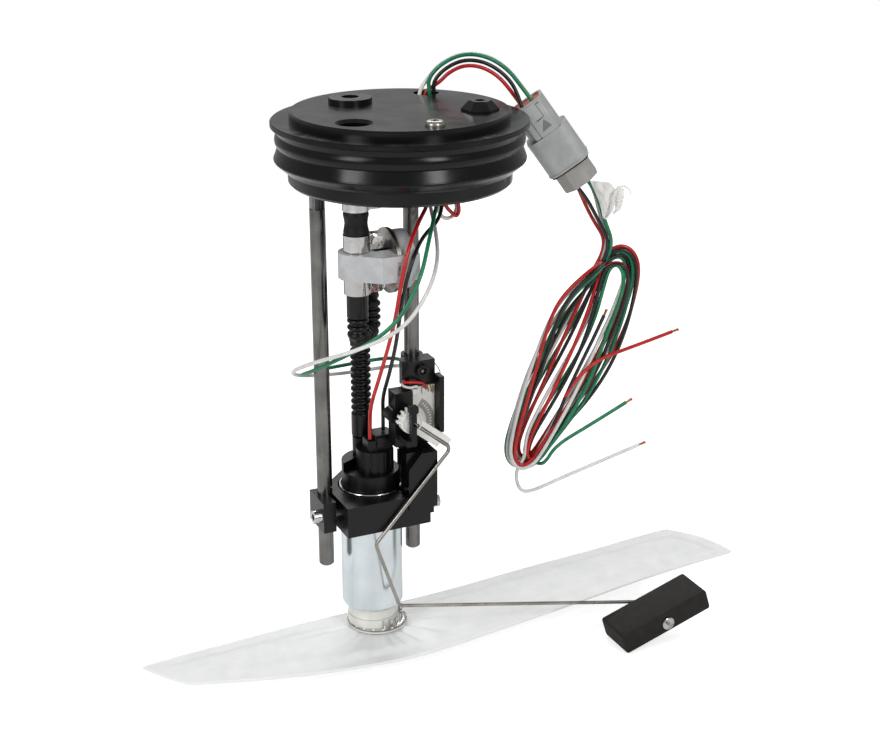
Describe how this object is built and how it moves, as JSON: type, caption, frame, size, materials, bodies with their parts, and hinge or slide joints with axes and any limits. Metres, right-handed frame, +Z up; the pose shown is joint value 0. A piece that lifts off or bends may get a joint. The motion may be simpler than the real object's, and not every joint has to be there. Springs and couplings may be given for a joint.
{
  "type": "fuel pump module",
  "caption": "In-tank fuel pump on guide rods below a sealed flange, with regulator, ribbed hose, level sender with float arm, filter sock and a leaded connector.",
  "frame": {"origin": "on the flange axis, where the seal's cone meets the plug's plain wall, which is level with the tank's neck", "axes": "+Z up along the flange axis and both rods, +X from the left rod to the right rod, +Y towards the back of the module as pictured"},
  "size_m": [0.4056, 0.1556, 0.379],
  "materials": {
    "black_anodised": "satin black anodised",
    "black_insulation": "extruded",
    "black_plastic": "moulded",
    "bright_steel": "polished",
    "carbon": "pressed",
    "ceramic": "fired ceramic",
    "clear_aluminium": "clear anodised",
    "copper": "bare",
    "felt": "non-woven",
    "foam": "closed-cell foam",
    "green_insulation": "extruded",
    "grey_plastic": "moulded",
    "hose_rubber": "smooth",
    "lid_black": "gloss black anodised",
    "magnet": "sintered",
    "nylon_hose": "corrugated",
    "orange_plastic": "moulded",
    "red_insulation": "extruded",
    "seal_rubber": "smooth moulded",
    "steel": "turned and brushed",
    "tape": "crumpled",
    "white_insulation": "extruded",
    "white_plastic": "moulded",
    "zinc_can": "zinc plated"
  },
  "bodies": {
    "module": {"lid_plate": "lid_black", "tank_seal": "seal_rubber", "vent_boss": "black_anodised", "valve_cap": "black_plastic", "lid_screw": "steel", "lid_nut": "steel", "lead_seal": "hose_rubber", "outlet_barb": "clear_aluminium", "rod_left": "steel", "rod_right": "steel", "upper_hose": "hose_rubber", "clamp_bands": "bright_steel", "clamp_screws": "bright_steel", "regulator_body": "clear_aluminium", "regulator_capsule": "bright_steel", "regulator_cup": "steel", "regulator_diaphragm": "hose_rubber", "supply_hose": "nylon_hose", "pump_can": "zinc_can", "pump_cap": "black_plastic", "shaft_bush": "carbon", "inlet_plate": "white_plastic", "chamber_ring": "black_plastic", "pump_magnets": "magnet", "pump_brushes": "carbon", "pump_plug": "black_plastic", "pump_isolator": "hose_rubber", "pump_bracket": "black_anodised", "bracket_screws": "bright_steel", "sender_tower": "black_anodised", "sender_block": "black_anodised", "sender_screw": "black_anodised", "sender_frame": "black_plastic", "resistor_card": "ceramic", "card_terminals": "bright_steel", "strainer_collar": "white_plastic", "strainer_sock": "felt", "socket_shell": "grey_plastic", "plug_shell": "grey_plastic", "lock_wedge": "orange_plastic", "lead_red": "red_insulation", "lead_black": "black_insulation", "lead_green": "green_insulation", "lead_white": "white_insulation", "sender_tails": "red_insulation", "hank": "green_insulation", "harness_red": "red_insulation", "harness_black": "black_insulation", "harness_green": "green_insulation", "harness_white": "white_insulation", "marker_tape": "tape"},
    "rotor": {"armature": "magnet", "commutator": "copper", "pump_shaft": "steel", "impeller": "black_plastic"},
    "float_arm": {"wiper_arm": "white_plastic", "wiper_contacts": "copper", "float_wire": "steel", "float_retainer": "bright_steel"},
    "float": {"float_block": "foam"}
  },
  "joints": [
    {"name": "pump_spin", "type": "hinge", "parent": "module", "child": "rotor", "pos_m": [-0.0215, 0.0018, -0.25], "axis": [0, 0, 1], "continuous": true},
    {"name": "level_swing", "type": "hinge", "parent": "module", "child": "float_arm", "pos_m": [-0.0077, -0.0304, -0.1505], "axis": [0, -1, 0], "range_deg": [0, 60]},
    {"name": "float_turn", "type": "hinge", "parent": "float_arm", "child": "float", "pos_m": [0.1545, -0.062, -0.3035], "axis": [0, -1, 0], "continuous": true}
  ]
}
